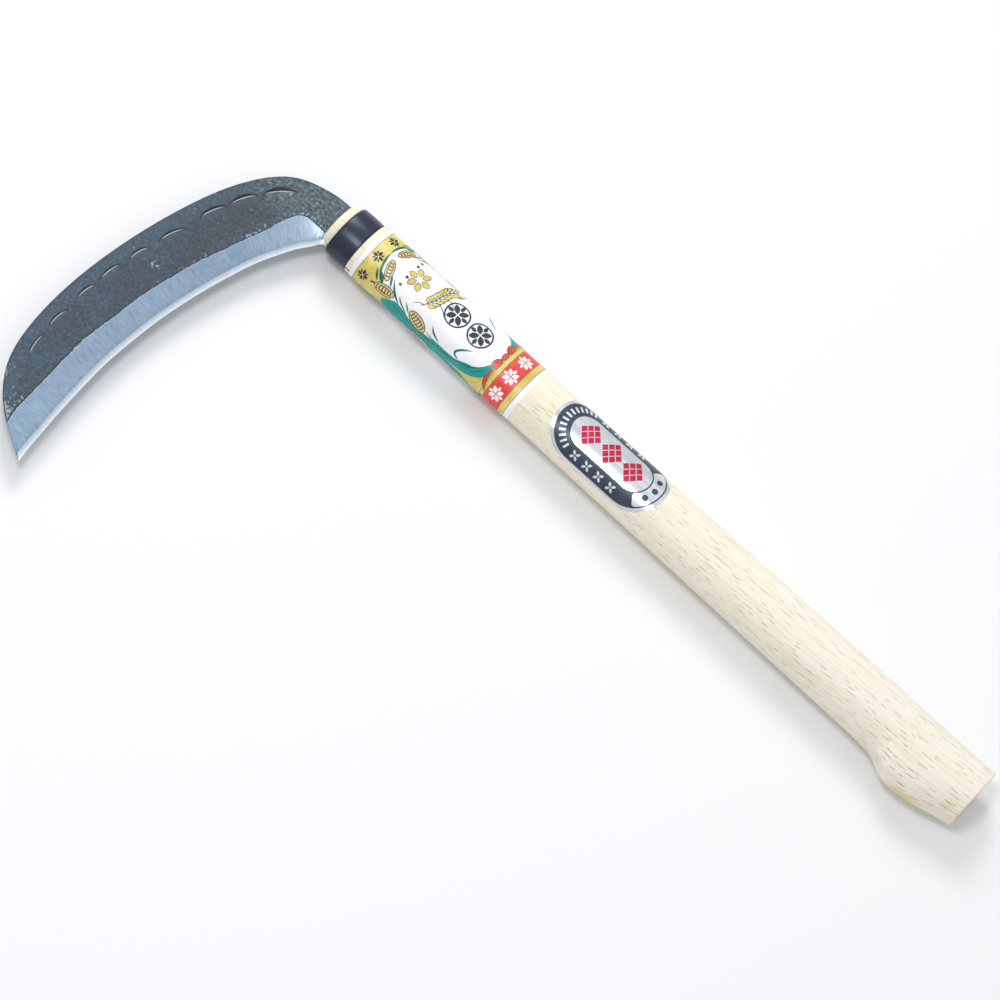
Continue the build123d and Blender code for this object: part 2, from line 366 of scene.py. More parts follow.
# Forge scale: magnetite that forms on hot iron, slate-blue and faintly glossy, finely grained,
# purple in some patches and teal in others, and flaked to bare specks where it is worn.
forge_scale, tree, shader = new_material("forge_scale")
place = add(tree, "ShaderNodeAttribute", attribute_name="lie")
spot = add(tree, "ShaderNodeTexCoord")
axes = add(tree, "ShaderNodeSeparateXYZ", {0: place.outputs["Vector"]})
patches = add(tree, "ShaderNodeTexNoise",
              {"Vector": spot.outputs["Object"], "Scale": 1 / 0.020, "Detail": 4.0, "Roughness": 0.55})
towards_tip = add(tree, "ShaderNodeMapRange",
                  {"Value": axes.outputs["X"], "From Min": 110.0, "From Max": 230.0, "To Min": -0.05,
                   "To Max": 0.13})
hue_sum = add(tree, "ShaderNodeMath",
              {0: patches.outputs["Fac"], 1: towards_tip.outputs["Result"]}, operation="ADD")
body_colour = add(tree, "ShaderNodeValToRGB", {"Fac": hue_sum.outputs["Value"]}, stops=[
    (0.36, srgb("#363d49")), (0.47, srgb("#35404d")), (0.58, srgb("#32424f")), (0.70, srgb("#364c5a"))])
band = add(tree, "ShaderNodeMapRange",
           {"Value": axes.outputs["Z"], "From Min": 5.5, "From Max": 9.5, "To Min": 0.75, "To Max": 0.0})
band_colour = add(tree, "ShaderNodeMix",
                  {"Factor": band.outputs["Result"], "A": body_colour.outputs["Color"],
                   "B": srgb("#3a505f")}, data_type="RGBA")
# the scale's grain is finer than this and is drawn coarser, so that it shows
grain = add(tree, "ShaderNodeTexNoise",
            {"Vector": spot.outputs["Object"], "Scale": 1 / 0.0016, "Detail": 3.0, "Roughness": 0.75})
grain_tone = add(tree, "ShaderNodeMapRange",
                 {"Value": grain.outputs["Fac"], "From Min": 0.33, "From Max": 0.67,
                  "To Min": 0.50, "To Max": 1.50})
grained = add(tree, "ShaderNodeVectorMath",
              {0: band_colour.outputs["Result"], "Scale": grain_tone.outputs["Result"]},
              operation="SCALE")
# near the neck the scale is coarse: light and dark crumbs lie side by side
crumbs = add(tree, "ShaderNodeTexNoise",
             {"Vector": spot.outputs["Object"], "Scale": 1 / 0.0016, "Detail": 2.0, "Roughness": 0.7})
crumb_colour = add(tree, "ShaderNodeValToRGB", {"Fac": crumbs.outputs["Fac"]}, stops=[
    (0.34, srgb("#2b343c")), (0.46, srgb("#43515a")), (0.58, srgb("#54666d")), (0.70, srgb("#768a8e"))])
coarse_there = add(tree, "ShaderNodeAttribute", attribute_name="coarse")
crumbled = add(tree, "ShaderNodeMix",
               {"Factor": coarse_there.outputs["Fac"], "A": grained.outputs["Vector"],
                "B": crumb_colour.outputs["Color"]}, data_type="RGBA")
flakes = add(tree, "ShaderNodeTexNoise",
             {"Vector": spot.outputs["Object"], "Scale": 1 / 0.0016, "Detail": 2.5, "Roughness": 0.65})
worn_there = add(tree, "ShaderNodeAttribute", attribute_name="wear")
flake_sum = add(tree, "ShaderNodeMath",
                {0: worn_there.outputs["Fac"], 1: 0.16, 2: flakes.outputs["Fac"]}, operation="MULTIPLY_ADD")
flaked = add(tree, "ShaderNodeMapRange",
             {"Value": flake_sum.outputs["Value"], "From Min": 0.685, "From Max": 0.75, "To Max": 0.85})
flake_tone = add(tree, "ShaderNodeMix",
                 {"Factor": patches.outputs["Fac"], "A": srgb("#8ea2a8"), "B": srgb("#a9aca4")},
                 data_type="RGBA")
specked = add(tree, "ShaderNodeMix",
              {"Factor": flaked.outputs["Result"], "A": crumbled.outputs["Result"],
               "B": flake_tone.outputs["Result"]}, data_type="RGBA")
# a dark burr where the grinding begins, darker along the very back, and painted shade on the steep wall of
# each hammered step
grind_line = add(tree, "ShaderNodeAttribute", attribute_name="burr")
back_edge = add(tree, "ShaderNodeMapRange",
                {"Value": axes.outputs["Z"], "From Min": 0.3, "From Max": 0.9, "To Min": 0.45,
                 "To Max": 0.0})
# painted shade: each hammered step's wall is coloured dark as if it lay in shade
painted_shade_in_step = add(tree, "ShaderNodeAttribute", attribute_name="step")
painted_step_shade = add(tree, "ShaderNodeMath", {0: painted_shade_in_step.outputs["Fac"], 1: 0.95}, operation="MULTIPLY")
darker = add(tree, "ShaderNodeMath",
             {0: grind_line.outputs["Fac"], 1: back_edge.outputs["Result"]}, operation="MAXIMUM")
burr_and_painted_step_shade = add(tree, "ShaderNodeMath",
              {0: darker.outputs["Value"], 1: painted_step_shade.outputs["Value"]}, operation="MAXIMUM")
darkened = add(tree, "ShaderNodeMix",
               {"Factor": burr_and_painted_step_shade.outputs["Value"], "A": specked.outputs["Result"],
                "B": srgb("#151c23")}, data_type="RGBA")
# painted highlight: a bright line on the lip just below each hammered step, where its slope would catch the
# key light
painted_highlight_on_lip = add(tree, "ShaderNodeAttribute", attribute_name="lip")
painted_highlight_amount = add(tree, "ShaderNodeMath", {0: painted_highlight_on_lip.outputs["Fac"], 1: 0.8}, operation="MULTIPLY")
painted_lip_highlight = add(tree, "ShaderNodeMix",
                {"Factor": painted_highlight_amount.outputs["Value"], "A": darkened.outputs["Result"],
                 "B": srgb("#c3cdd3")}, data_type="RGBA")
tree.links.new(painted_lip_highlight.outputs["Result"], shader.inputs["Base Color"])
shade = add(tree, "ShaderNodeMapRange",
            {"Value": grain.outputs["Fac"], "To Min": 0.42, "To Max": 0.66})
tree.links.new(shade.outputs["Result"], shader.inputs["Roughness"])
height = add(tree, "ShaderNodeMath",
             {0: crumbs.outputs["Fac"], 1: coarse_there.outputs["Fac"], 2: grain.outputs["Fac"]},
             operation="MULTIPLY_ADD")
bump = add(tree, "ShaderNodeBump",
           {"Height": height.outputs["Value"], "Strength": 0.5, "Distance": 0.00015})
tree.links.new(bump.outputs["Normal"], shader.inputs["Normal"])
shader.inputs["Metallic"].default_value = 0.15

# Ground iron: bright and finely scratched square across by the wheel, which blurs what it
# mirrors. The scratches are finer than this and are drawn coarser, so that they show.
ground_iron, tree, shader = new_material("ground_iron")
place = add(tree, "ShaderNodeAttribute", attribute_name="lie")
axes = add(tree, "ShaderNodeSeparateXYZ", {0: place.outputs["Vector"]})
streak_place = add(tree, "ShaderNodeMapping",
                   {"Vector": place.outputs["Vector"], "Scale": (1 / 0.8, 1 / 6.0, 0)})
streaks = add(tree, "ShaderNodeTexNoise",
              {"Vector": streak_place.outputs["Vector"], "Scale": 1.0, "Detail": 4.0,
               "Roughness": 0.7})
cloud = add(tree, "ShaderNodeTexNoise",
            {"Vector": place.outputs["Vector"], "Scale": 1 / 14, "Detail": 2.0})
tint = add(tree, "ShaderNodeMix",
           {"Factor": cloud.outputs["Fac"], "A": srgb("#8197ad"), "B": srgb("#99aec3")},
           data_type="RGBA")
strength = add(tree, "ShaderNodeMapRange",
               {"Value": streaks.outputs["Fac"], "From Min": 0.32, "From Max": 0.68,
                "To Min": 0.76, "To Max": 1.20})
by_heel = add(tree, "ShaderNodeMapRange",
              {"Value": axes.outputs["X"], "From Min": 78.0, "From Max": 125.0, "To Min": 0.75,
               "To Max": 0.0})
paler = add(tree, "ShaderNodeMix",
            {"Factor": by_heel.outputs["Result"], "A": tint.outputs["Result"], "B": srgb("#aabccf")},
            data_type="RGBA")
streaked = add(tree, "ShaderNodeVectorMath",
               {0: paler.outputs["Result"], "Scale": strength.outputs["Result"]}, operation="SCALE")
# a dull line is left where the honing begins
foot = add(tree, "ShaderNodeMapRange",
           {"Value": axes.outputs["Y"], "From Min": 2.9, "From Max": 4.6, "To Min": 0.35,
            "To Max": 0.0})
footed = add(tree, "ShaderNodeMix",
             {"Factor": foot.outputs["Result"], "A": streaked.outputs["Vector"], "B": srgb("#7b8fa2")},
             data_type="RGBA")
tree.links.new(footed.outputs["Result"], shader.inputs["Base Color"])
bump = add(tree, "ShaderNodeBump",
           {"Height": streaks.outputs["Fac"], "Strength": 0.3, "Distance": 0.00008})
tree.links.new(bump.outputs["Normal"], shader.inputs["Normal"])
shader.inputs["Metallic"].default_value = 0.7
shader.inputs["Roughness"].default_value = 0.42
blade_iron.data.materials.append(forge_scale)
blade_iron.data.materials.append(ground_iron)

# ------------------------------------------------------------------------------ blade, hard steel
# A thin layer of hard steel, forge-welded to the flat back along the edge. The bevel lays it bare
# as a narrow strip, which is honed on a stone until it shines almost white.
steel_rows = []
heel = int(np.argmax(ground > 0.5))
for t in np.linspace(0, 1, 7):
    line = edge_line + t * (honed_line - edge_line)
    steel_rows.append(np.c_[line, edge_z + t * (bevel_low_z - edge_z)][heel:])
for line, z in ((honed_line, step_z), (weld_line, step_z), (weld_line, step_z * 0 + back_z),
                (edge_line, step_z * 0 + back_z)):
    steel_rows.append(np.c_[line, z][heel:])
steel_grid = np.array(steel_rows)
rows, count = steel_grid.shape[:2]
blade_steel = mesh_object("blade_steel", steel_grid.reshape(-1, 3), tube_faces(rows, count))
across = np.linalg.norm(steel_grid[:, :, :2] - edge_line[heel:], axis=2)
give_numbers(blade_steel, "lie", np.stack([np.tile(columns[heel:], (rows, 1)), across, across * 0], 2),
             "FLOAT_VECTOR")
tidy(blade_steel, 25)
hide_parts("steel_layer")

# Honed steel: nearly mirror-bright at the edge and duller towards the iron, with the faintest
# scratches left by the stone.
honed_steel, tree, shader = new_material("honed_steel")
place = add(tree, "ShaderNodeAttribute", attribute_name="lie")
axes = add(tree, "ShaderNodeSeparateXYZ", {0: place.outputs["Vector"]})
strokes_place = add(tree, "ShaderNodeMapping",
                    {"Vector": place.outputs["Vector"], "Scale": (1 / 1.1, 1 / 5.0, 0)})
strokes = add(tree, "ShaderNodeTexNoise",
              {"Vector": strokes_place.outputs["Vector"], "Scale": 1.0, "Detail": 3.0})
wander = add(tree, "ShaderNodeMath",
             {0: strokes.outputs["Fac"], 1: 1.2, 2: axes.outputs["Y"]}, operation="MULTIPLY_ADD")
fading = add(tree, "ShaderNodeMapRange",
             {"Value": wander.outputs["Value"], "From Min": 0.9, "From Max": 3.3})
tint = add(tree, "ShaderNodeMix",
           {"Factor": fading.outputs["Result"], "A": srgb("#f3f6fa"), "B": srgb("#aebfd0")},
           data_type="RGBA")
tree.links.new(tint.outputs["Result"], shader.inputs["Base Color"])
shader.inputs["Metallic"].default_value = 0.55
shader.inputs["Roughness"].default_value = 0.32
blade_steel.data.materials.append(honed_steel)

# ------------------------------------------------------------------------------ handle
# One piece of pale oak: a straight oval grip, thinned to a tenon at the head and sawn with a kerf
# for the tang, and left thick at the butt as a knob, with a cove cut before it and a sloping flat
# under it. It is sanded and left bare.
handle_high = np.array(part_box("handle")[1]) / MM
ferrule_low, ferrule_high = (np.array(corner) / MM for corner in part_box("ferrule"))
oval_ratio = 0.8
grip_from, half_width_there = 60.0, 16.1
half_width_at_shoulder, shoulder_x = 14.35, ferrule_low[0]
tenon_half_width, kerf_half_width = 12.0, 1.3
knob_reach = [(0, 16.7), (9, 18.5), (15, 20.2), (21.5, 21.9), (28, 22.6), (34, 22.8), (38, 22.4),
              (42, 20.6), (46, 18.2), (50, 16.7), (grip_from, 16.1)]
# the outline that the knob is cut to, square to the blade: heel, underside, corner and cove
knob_cut = [(0, 15.1), (21.5, 21.8), (30, 22.8), (36.9, 22.9), (39.0, 21.0), (41.5, 19.2),
            (44.5, 17.6), (48.5, 16.6), (53, 16.15), (grip_from, 16.3), (400, 40)]


def half_width(x):
    """The grip's half width at x: straight, with an even taper."""
    taper = (x - grip_from) / (shoulder_x - grip_from)
    return half_width_there + taper * (half_width_at_shoulder - half_width_there)


def soft_min(a, b, round_off=0.5):
    """The smaller of two, with the corner between them rounded off as sanding does."""
    blend = np.clip(0.5 + 0.5 * (b - a) / round_off, 0, 1)
    return b * (1 - blend) + a * blend - round_off * blend * (1 - blend)


arc_points, kerf_points = 118, 10


def handle_ring(x, shrink=0.0, tenon=False, kerf=False):
    """One section of the handle: round the oval, then across the kerf or the flat of the knob."""
    reach = np.interp(x, *zip(*knob_reach)) if x < grip_from else half_width(x)
    back = half_width(max(x, grip_from))
    wide, middle, deep = (reach + back) / 2 - shrink, (reach - back) / 2, back * oval_ratio - shrink
    cut = np.interp(x, *zip(*knob_cut)) - shrink
    if tenon:
        wide, middle, deep, cut = tenon_half_width - shrink, 0, tenon_half_width * oval_ratio - shrink, 99
    corner = np.arccos(np.clip((cut - middle) / wide, -1, 1)) if cut < middle + wide else 0
    corner = max(corner, np.arcsin(kerf_half_width / deep))
    angles = np.linspace(corner, 2 * np.pi - corner, arc_points)
    y = soft_min(middle + wide * np.cos(angles), cut)
    ring = np.c_[angles * 0 + x, y, deep * np.sin(angles)]
    angles = np.linspace(-corner, corner, kerf_points)
    y = soft_min(middle + wide * np.cos(angles), cut)
    if kerf:
        y = y * 0 + np.interp(x, [316, 394], [-7.05, -9.85])
    return np.concatenate([ring, np.c_[angles * 0 + x, y, deep * np.sin(angles)]])


rim = 0.45
rings = [handle_ring(0, rim), handle_ring(0.12, 0.18), handle_ring(rim)]
rings += [handle_ring(x) for x in np.arange(1.0, 20.6, 1.0)]
rings += [handle_ring(x) for x in np.arange(21.0, 60.0, 0.4)]
rings += [handle_ring(x) for x in np.linspace(60, 315.9, 150)]
rings += [handle_ring(x, kerf=True) for x in np.linspace(316, shoulder_x - 0.5, 40)]
rings += [handle_ring(shoulder_x - 0.15, 0.05, kerf=True), handle_ring(shoulder_x, 0.3, kerf=True)]
tenon_end = handle_high[0]
end_radius = 1.6
rings += [handle_ring(x, tenon=True, kerf=True)
          for x in np.linspace(shoulder_x, tenon_end - end_radius, 14)]
for t in np.radians([20, 40, 60, 78, 90]):
    rings.append(handle_ring(tenon_end - end_radius * (1 - np.sin(t)), end_radius * (1 - np.cos(t)),
                             tenon=True, kerf=True))
count = len(rings[0])


def ring_faces(rings, count):
    """Quads between rings of points that close on themselves."""
    return [
        (r * count + c, r * count + (c + 1) % count, (r + 1) * count + (c + 1) % count, (r + 1) * count + c)
        for r in range(rings - 1) for c in range(count)
    ]


faces = ring_faces(len(rings), count)
faces += [tuple(range(count)), tuple(range((len(rings) - 1) * count, len(rings) * count))]
handle = mesh_object("oak_handle", np.concatenate(rings), faces)
for polygon in handle.data.polygons[-2:]:
    polygon.material_index = 1
tidy(handle, 40)
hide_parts("handle")

# Oak, sanded along the grain: cream, with faint streaks along the fibres and short brown flecks
# where it cuts through the rays, with yellow stains at the knob.
sanded_oak, tree, shader = new_material("sanded_oak")
spot = add(tree, "ShaderNodeTexCoord")
along = add(tree, "ShaderNodeSeparateXYZ", {0: spot.outputs["Object"]})
deepened = add(tree, "ShaderNodeMath", {0: along.outputs["Z"], 1: 1 / oval_ratio}, operation="MULTIPLY")
bearing = add(tree, "ShaderNodeMath",
              {0: along.outputs["Y"], 1: deepened.outputs["Value"]}, operation="ARCTAN2")
wander = add(tree, "ShaderNodeTexNoise",
             {"Vector": spot.outputs["Object"], "Scale": 1 / 0.045, "Detail": 1.0})
sway = add(tree, "ShaderNodeMath",
           {0: wander.outputs["Fac"], 1: 0.16, 2: bearing.outputs["Value"]}, operation="MULTIPLY_ADD")
slant = add(tree, "ShaderNodeMath",
            {0: along.outputs["X"], 1: -3.6, 2: sway.outputs["Value"]}, operation="MULTIPLY_ADD")
# one turn of the grip is about 91 mm at its thick end, so a bearing of 1 stands for 14.5 mm round it
lie_of_grain = add(tree, "ShaderNodeCombineXYZ", {0: along.outputs["X"], 1: slant.outputs["Value"]})
fleck_place = add(tree, "ShaderNodeMapping",
                  {"Vector": lie_of_grain.outputs["Vector"], "Scale": (1 / 0.0066, 14.5 / 1.7, 1)})
cells = add(tree, "ShaderNodeTexVoronoi", {"Vector": fleck_place.outputs["Vector"], "Scale": 1.0},
            voronoi_dimensions="2D")
off_middle = add(tree, "ShaderNodeVectorMath",
                 {0: fleck_place.outputs["Vector"], 1: cells.outputs["Position"]}, operation="SUBTRACT")
chance = add(tree, "ShaderNodeSeparateColor", {0: cells.outputs["Color"]})
shortness = add(tree, "ShaderNodeMapRange",
                {"Value": chance.outputs[0], "To Min": 1.5, "To Max": 4.6})
fleck_shape = add(tree, "ShaderNodeCombineXYZ", {0: shortness.outputs["Result"], 1: 1.7 / 0.13})
fleck_reach = add(tree, "ShaderNodeVectorMath",
                  {0: off_middle.outputs["Vector"], 1: fleck_shape.outputs["Vector"]}, operation="MULTIPLY")
fleck_far = add(tree, "ShaderNodeVectorMath", {0: fleck_reach.outputs["Vector"]}, operation="LENGTH")
fleck = add(tree, "ShaderNodeMapRange",
            {"Value": fleck_far.outputs["Value"], "From Min": 0.65, "From Max": 1.15,
             "To Min": 1.0, "To Max": 0.0}, interpolation_type="SMOOTHSTEP")
# more of them towards the butt and on the lower flank
crowd = add(tree, "ShaderNodeTexNoise",
            {"Vector": spot.outputs["Object"], "Scale": 1 / 0.014, "Detail": 1.0})
fewer = add(tree, "ShaderNodeMapRange",
            {"Value": along.outputs["X"], "From Min": 0.05, "From Max": 0.26, "To Min": -0.02,
             "To Max": 0.10})
lower = add(tree, "ShaderNodeMapRange",
            {"Value": along.outputs["Y"], "From Min": -0.004, "From Max": 0.012, "To Min": 0.13,
             "To Max": -0.12})
threshold = add(tree, "ShaderNodeMath",
                {0: fewer.outputs["Result"], 1: lower.outputs["Result"]}, operation="ADD")
crowding = add(tree, "ShaderNodeMath",
               {0: crowd.outputs["Fac"], 1: threshold.outputs["Value"]}, operation="SUBTRACT")
kept = add(tree, "ShaderNodeMath",
           {0: crowding.outputs["Value"], 1: 1.15, 2: chance.outputs[1]}, operation="MULTIPLY_ADD")
keep = add(tree, "ShaderNodeMapRange",
           {"Value": kept.outputs["Value"], "From Min": 0.94, "From Max": 1.36})
fleck_amount = add(tree, "ShaderNodeMath",
                   {0: fleck.outputs["Result"], 1: keep.outputs["Result"]}, operation="MULTIPLY")
fibre_place = add(tree, "ShaderNodeMapping",
                  {"Vector": lie_of_grain.outputs["Vector"], "Scale": (1 / 0.028, 14.5 / 0.9, 1)})
fibres = add(tree, "ShaderNodeTexNoise",
             {"Vector": fibre_place.outputs["Vector"], "Scale": 1.0, "Detail": 4.0, "Roughness": 0.6},
             noise_dimensions="2D")
band_place = add(tree, "ShaderNodeMapping",
                 {"Vector": lie_of_grain.outputs["Vector"], "Scale": (1 / 0.16, 14.5 / 5.0, 1)})
bands = add(tree, "ShaderNodeTexNoise",
            {"Vector": band_place.outputs["Vector"], "Scale": 1.0, "Detail": 2.0},
            noise_dimensions="2D")
streaked = add(tree, "ShaderNodeMath",
               {0: bands.outputs["Fac"], 1: 0.4, 2: fibres.outputs["Fac"]}, operation="MULTIPLY_ADD")
yellow_wood = add(tree, "ShaderNodeValToRGB", {"Fac": streaked.outputs["Value"]}, stops=[
    (0.48, srgb("#ece1c4")), (0.73, srgb("#f2ebd4")), (1.0, srgb("#f6f1df"))])
pink_wood = add(tree, "ShaderNodeValToRGB", {"Fac": streaked.outputs["Value"]}, stops=[
    (0.48, srgb("#ebe1cb")), (0.73, srgb("#f3ecdc")), (1.0, srgb("#f7f3e7"))])
towards_butt = add(tree, "ShaderNodeMapRange",
                   {"Value": along.outputs["X"], "From Min": 0.07, "From Max": 0.22, "To Min": 1.0,
                    "To Max": 0.0})
wood_colour = add(tree, "ShaderNodeMix",
                  {"Factor": towards_butt.outputs["Result"], "A": yellow_wood.outputs["Color"],
                   "B": pink_wood.outputs["Color"]}, data_type="RGBA")
stain_noise = add(tree, "ShaderNodeTexNoise",
                  {"Vector": spot.outputs["Object"], "Scale": 1 / 0.009, "Detail": 2.0})
near_butt = add(tree, "ShaderNodeMapRange",
                {"Value": along.outputs["X"], "From Min": 0.012, "From Max": 0.055,
                 "To Min": 0.10, "To Max": -0.1})
stain_sum = add(tree, "ShaderNodeMath",
                {0: stain_noise.outputs["Fac"], 1: near_butt.outputs["Result"]}, operation="ADD")
stain = add(tree, "ShaderNodeMapRange",
            {"Value": stain_sum.outputs["Value"], "From Min": 0.62, "From Max": 0.84, "To Max": 0.5},
            interpolation_type="SMOOTHSTEP")
stained = add(tree, "ShaderNodeMix",
              {"Factor": stain.outputs["Result"], "A": wood_colour.outputs["Result"],
               "B": srgb("#e3cb85")}, data_type="RGBA")
# a yellower patch under the knob's corner; it sits more on the side of its corner that faces the butt
leant = add(tree, "ShaderNodeMath",
            {0: along.outputs["X"], 1: -0.13, 2: along.outputs["Y"]}, operation="MULTIPLY_ADD")
underside = add(tree, "ShaderNodeMapRange",
                {"Value": leant.outputs["Value"], "From Min": 0.0177, "From Max": 0.0190,
                 "To Max": 0.6}, interpolation_type="SMOOTHSTEP")
yellower_under_knob = add(tree, "ShaderNodeMix",
            {"Factor": underside.outputs["Result"], "A": stained.outputs["Result"],
             "B": srgb("#ddc468")}, data_type="RGBA")
fleck_colour = add(tree, "ShaderNodeMix",
                   {"Factor": chance.outputs[2], "A": srgb("#86714b"), "B": srgb("#b8a47a")},
                   data_type="RGBA")
flecked = add(tree, "ShaderNodeMix",
              {"Factor": fleck_amount.outputs["Value"], "A": yellower_under_knob.outputs["Result"],
               "B": fleck_colour.outputs["Result"]}, data_type="RGBA")
tree.links.new(flecked.outputs["Result"], shader.inputs["Base Color"])
relief = add(tree, "ShaderNodeMath",
             {0: fleck_amount.outputs["Value"], 1: -1.0, 2: fibres.outputs["Fac"]},
             operation="MULTIPLY_ADD")
bump = add(tree, "ShaderNodeBump",
           {"Height": relief.outputs["Value"], "Strength": 0.4, "Distance": 0.00010})
tree.links.new(bump.outputs["Normal"], shader.inputs["Normal"])
shader.inputs["Roughness"].default_value = 0.62

# Sawn end grain of the same oak: growth rings as arcs, their late wood darker than the sides, and
# pores as dots.
end_grain, tree, shader = new_material("oak_end_grain")
spot = add(tree, "ShaderNodeTexCoord")
ring_place = add(tree, "ShaderNodeMapping",
                 {"Vector": spot.outputs["Object"], "Location": (0, 0.045, 0.02), "Scale": (0, 1, 1)})
growth = add(tree, "ShaderNodeTexWave",
             {"Vector": ring_place.outputs["Vector"], "Scale": 1 / 0.0105, "Distortion": 1.2,
              "Detail": 2.0, "Detail Scale": 2.0},
             wave_type="RINGS", rings_direction="X", wave_profile="SAW")
dots = add(tree, "ShaderNodeTexVoronoi", {"Vector": spot.outputs["Object"], "Scale": 1 / 0.0007})
dot = add(tree, "ShaderNodeMapRange",
          {"Value": dots.outputs["Distance"], "From Min": 0.15, "From Max": 0.3, "To Min": 0.5,
           "To Max": 0.0})
end_colour = add(tree, "ShaderNodeValToRGB", {"Fac": growth.outputs["Fac"]}, stops=[
    (0.0, srgb("#f3ead2")), (0.7, srgb("#ebe0c2")), (1.0, srgb("#dcc9a0"))])
dotted = add(tree, "ShaderNodeMix",
             {"Factor": dot.outputs["Result"], "A": end_colour.outputs["Color"],
              "B": srgb("#b49a70")}, data_type="RGBA")
tree.links.new(dotted.outputs["Result"], shader.inputs["Base Color"])
shader.inputs["Roughness"].default_value = 0.8
handle.data.materials.append(sanded_oak)
handle.data.materials.append(end_grain)

# ------------------------------------------------------------------------------ ferrule
# A short steel ring with its front corner drawn round, enamelled black and driven over the tenon
# up to the grip's shoulder.
ferrule_wide, ferrule_deep = ferrule_high[1], ferrule_high[2]
nose, heel_round, swell = 1.5, 0.45, 0.18
profile = [(shoulder_x + 0.02, None), (shoulder_x + 0.02, heel_round)]
for t in np.radians([30, 60, 90]):
    profile.append((shoulder_x + heel_round * (1 - np.cos(t)), heel_round * (1 - np.sin(t))))
for t in np.linspace(0.1, 0.9, 7):
    profile.append((shoulder_x + heel_round + t * (13 - nose - heel_round), -swell * np.sin(np.pi * t)))
for t in np.radians([0, 15, 30, 45, 60, 75, 90]):
    profile.append((ferrule_high[0] - nose * (1 - np.sin(t)), nose * (1 - np.cos(t))))
profile.append((ferrule_high[0] - 0.05, None))
around_ferrule = np.linspace(0, 2 * np.pi, 144, endpoint=False)
rings = []
for x, inset in profile + profile[:1]:
    wide, deep = (tenon_half_width, tenon_half_width * oval_ratio) if inset is None else (
        ferrule_wide - inset, ferrule_deep - inset)
    rings.append(np.c_[around_ferrule * 0 + x, wide * np.cos(around_ferrule),
                       deep * np.sin(around_ferrule)])
ferrule = mesh_object("black_ferrule", np.concatenate(rings), ring_faces(len(rings), 144))
tidy(ferrule, 40)
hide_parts("ferrule")

# Stoved black enamel: deep, glossy, very slightly uneven, so what it mirrors has soft borders.
black_enamel, tree, shader = new_material("black_enamel")
spot = add(tree, "ShaderNodeTexCoord")
orange_peel = add(tree, "ShaderNodeTexNoise",
                  {"Vector": spot.outputs["Object"], "Scale": 1 / 0.0016, "Detail": 2.0})
dust = add(tree, "ShaderNodeTexNoise",
           {"Vector": spot.outputs["Object"], "Scale": 1 / 0.0005, "Detail": 2.0, "Roughness": 0.7})
depth_colour = add(tree, "ShaderNodeMix",
                   {"Factor": dust.outputs["Fac"], "A": srgb("#242031"), "B": srgb("#322e3e")},
                   data_type="RGBA")
tree.links.new(depth_colour.outputs["Result"], shader.inputs["Base Color"])
bump = add(tree, "ShaderNodeBump",
           {"Height": orange_peel.outputs["Fac"], "Strength": 0.25, "Distance": 0.00006})
tree.links.new(bump.outputs["Normal"], shader.inputs["Normal"])
shader.inputs["Roughness"].default_value = 0.3
# painted reflection colour: the enamel's reflections are tinted blue, standing in for a bluish lamp
shader.inputs["Specular Tint"].default_value = (0.62, 0.86, 1.0, 1.0)
ferrule.data.materials.append(black_enamel)

# ------------------------------------------------------------------------------ locking pins
# Two short lengths of drawn steel wire, driven through the cheeks of the kerf and the tang, and
# hidden under the label.
drawn_wire, tree, shader = new_material("drawn_wire")
spot = add(tree, "ShaderNodeTexCoord")
drawn = add(tree, "ShaderNodeMapping",
            {"Vector": spot.outputs["Object"], "Scale": (1 / 0.0002, 1 / 0.0002, 1 / 0.005)})
drawing_lines = add(tree, "ShaderNodeTexNoise", {"Vector": drawn.outputs["Vector"], "Scale": 1.0})
wire_colour = add(tree, "ShaderNodeMix",
                  {"Factor": drawing_lines.outputs["Fac"], "A": srgb("#8f9296"), "B": srgb("#b9bcc0")},
                  data_type="RGBA")
tree.links.new(wire_colour.outputs["Result"], shader.inputs["Base Color"])
shader.inputs["Metallic"].default_value = 1.0
shader.inputs["Roughness"].default_value = 0.35
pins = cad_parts["locking_pins"]
pins.data.materials.clear()
pins.data.materials.append(drawn_wire)

# ------------------------------------------------------------------------------ paper label
# A glossy printed paper wound once round the grip below the ferrule and glued down, its end lapped
# over its start on the far side. The picture is printed twice, once for each side of the tool.
label_low, label_high = (np.array(corner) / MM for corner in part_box("paper_label"))
paper_thick, glue_lap, ink_step = 0.15, 2.5, 0.014
turn_angles = np.linspace(-3 * np.pi, 3 * np.pi, 6001)
arc_speed = np.hypot(np.cos(turn_angles), oval_ratio * np.sin(turn_angles))
arc_lengths = np.concatenate([[0], np.cumsum((arc_speed[1:] + arc_speed[:-1]) / 2 * np.diff(turn_angles))])
arc_lengths -= arc_lengths[len(arc_lengths) // 2]
full_turn = np.interp(2 * np.pi, turn_angles, arc_lengths)
picture_middle = -1.3      # how far the picture's middle line is from the front of the grip


def wrap(x, share, proud):
    """Points laid round the grip: place along it, arc from its front in half widths, and height."""
    angle = np.interp(share, arc_lengths, turn_angles)
    wide = half_width_there + (half_width_at_shoulder - half_width_there) * (
        (x - grip_from) / (shoulder_x - grip_from))
    return np.c_[x, (wide + proud) * np.sin(angle), (wide * oval_ratio + proud) * np.cos(angle)]


